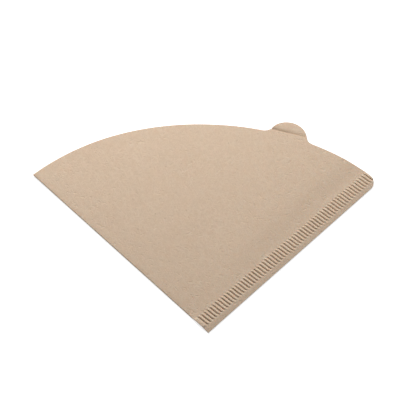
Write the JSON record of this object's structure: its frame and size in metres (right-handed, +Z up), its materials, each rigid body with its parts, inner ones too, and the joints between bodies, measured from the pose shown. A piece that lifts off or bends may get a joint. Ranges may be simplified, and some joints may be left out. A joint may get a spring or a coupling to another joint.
{
  "type": "paper coffee filter",
  "caption": "Unbleached paper filter for a cone dripper, folded flat, with one crimped side seam, a rounded rim and a small pull tab.",
  "frame": {"origin": "middle of the footprint, on the surface that the filter lies on", "axes": "+Z up from the table, +Y from the pointed tip to the middle of the rim, +X towards the crimped seam"},
  "size_m": [0.1622, 0.1218, 0.0011],
  "materials": {
    "kraft_filter_paper": "unbleached creped filter paper, matt, with fine fibres and flecks"
  },
  "bodies": {
    "root": {"filter_paper": "kraft_filter_paper"}
  },
  "joints": []
}
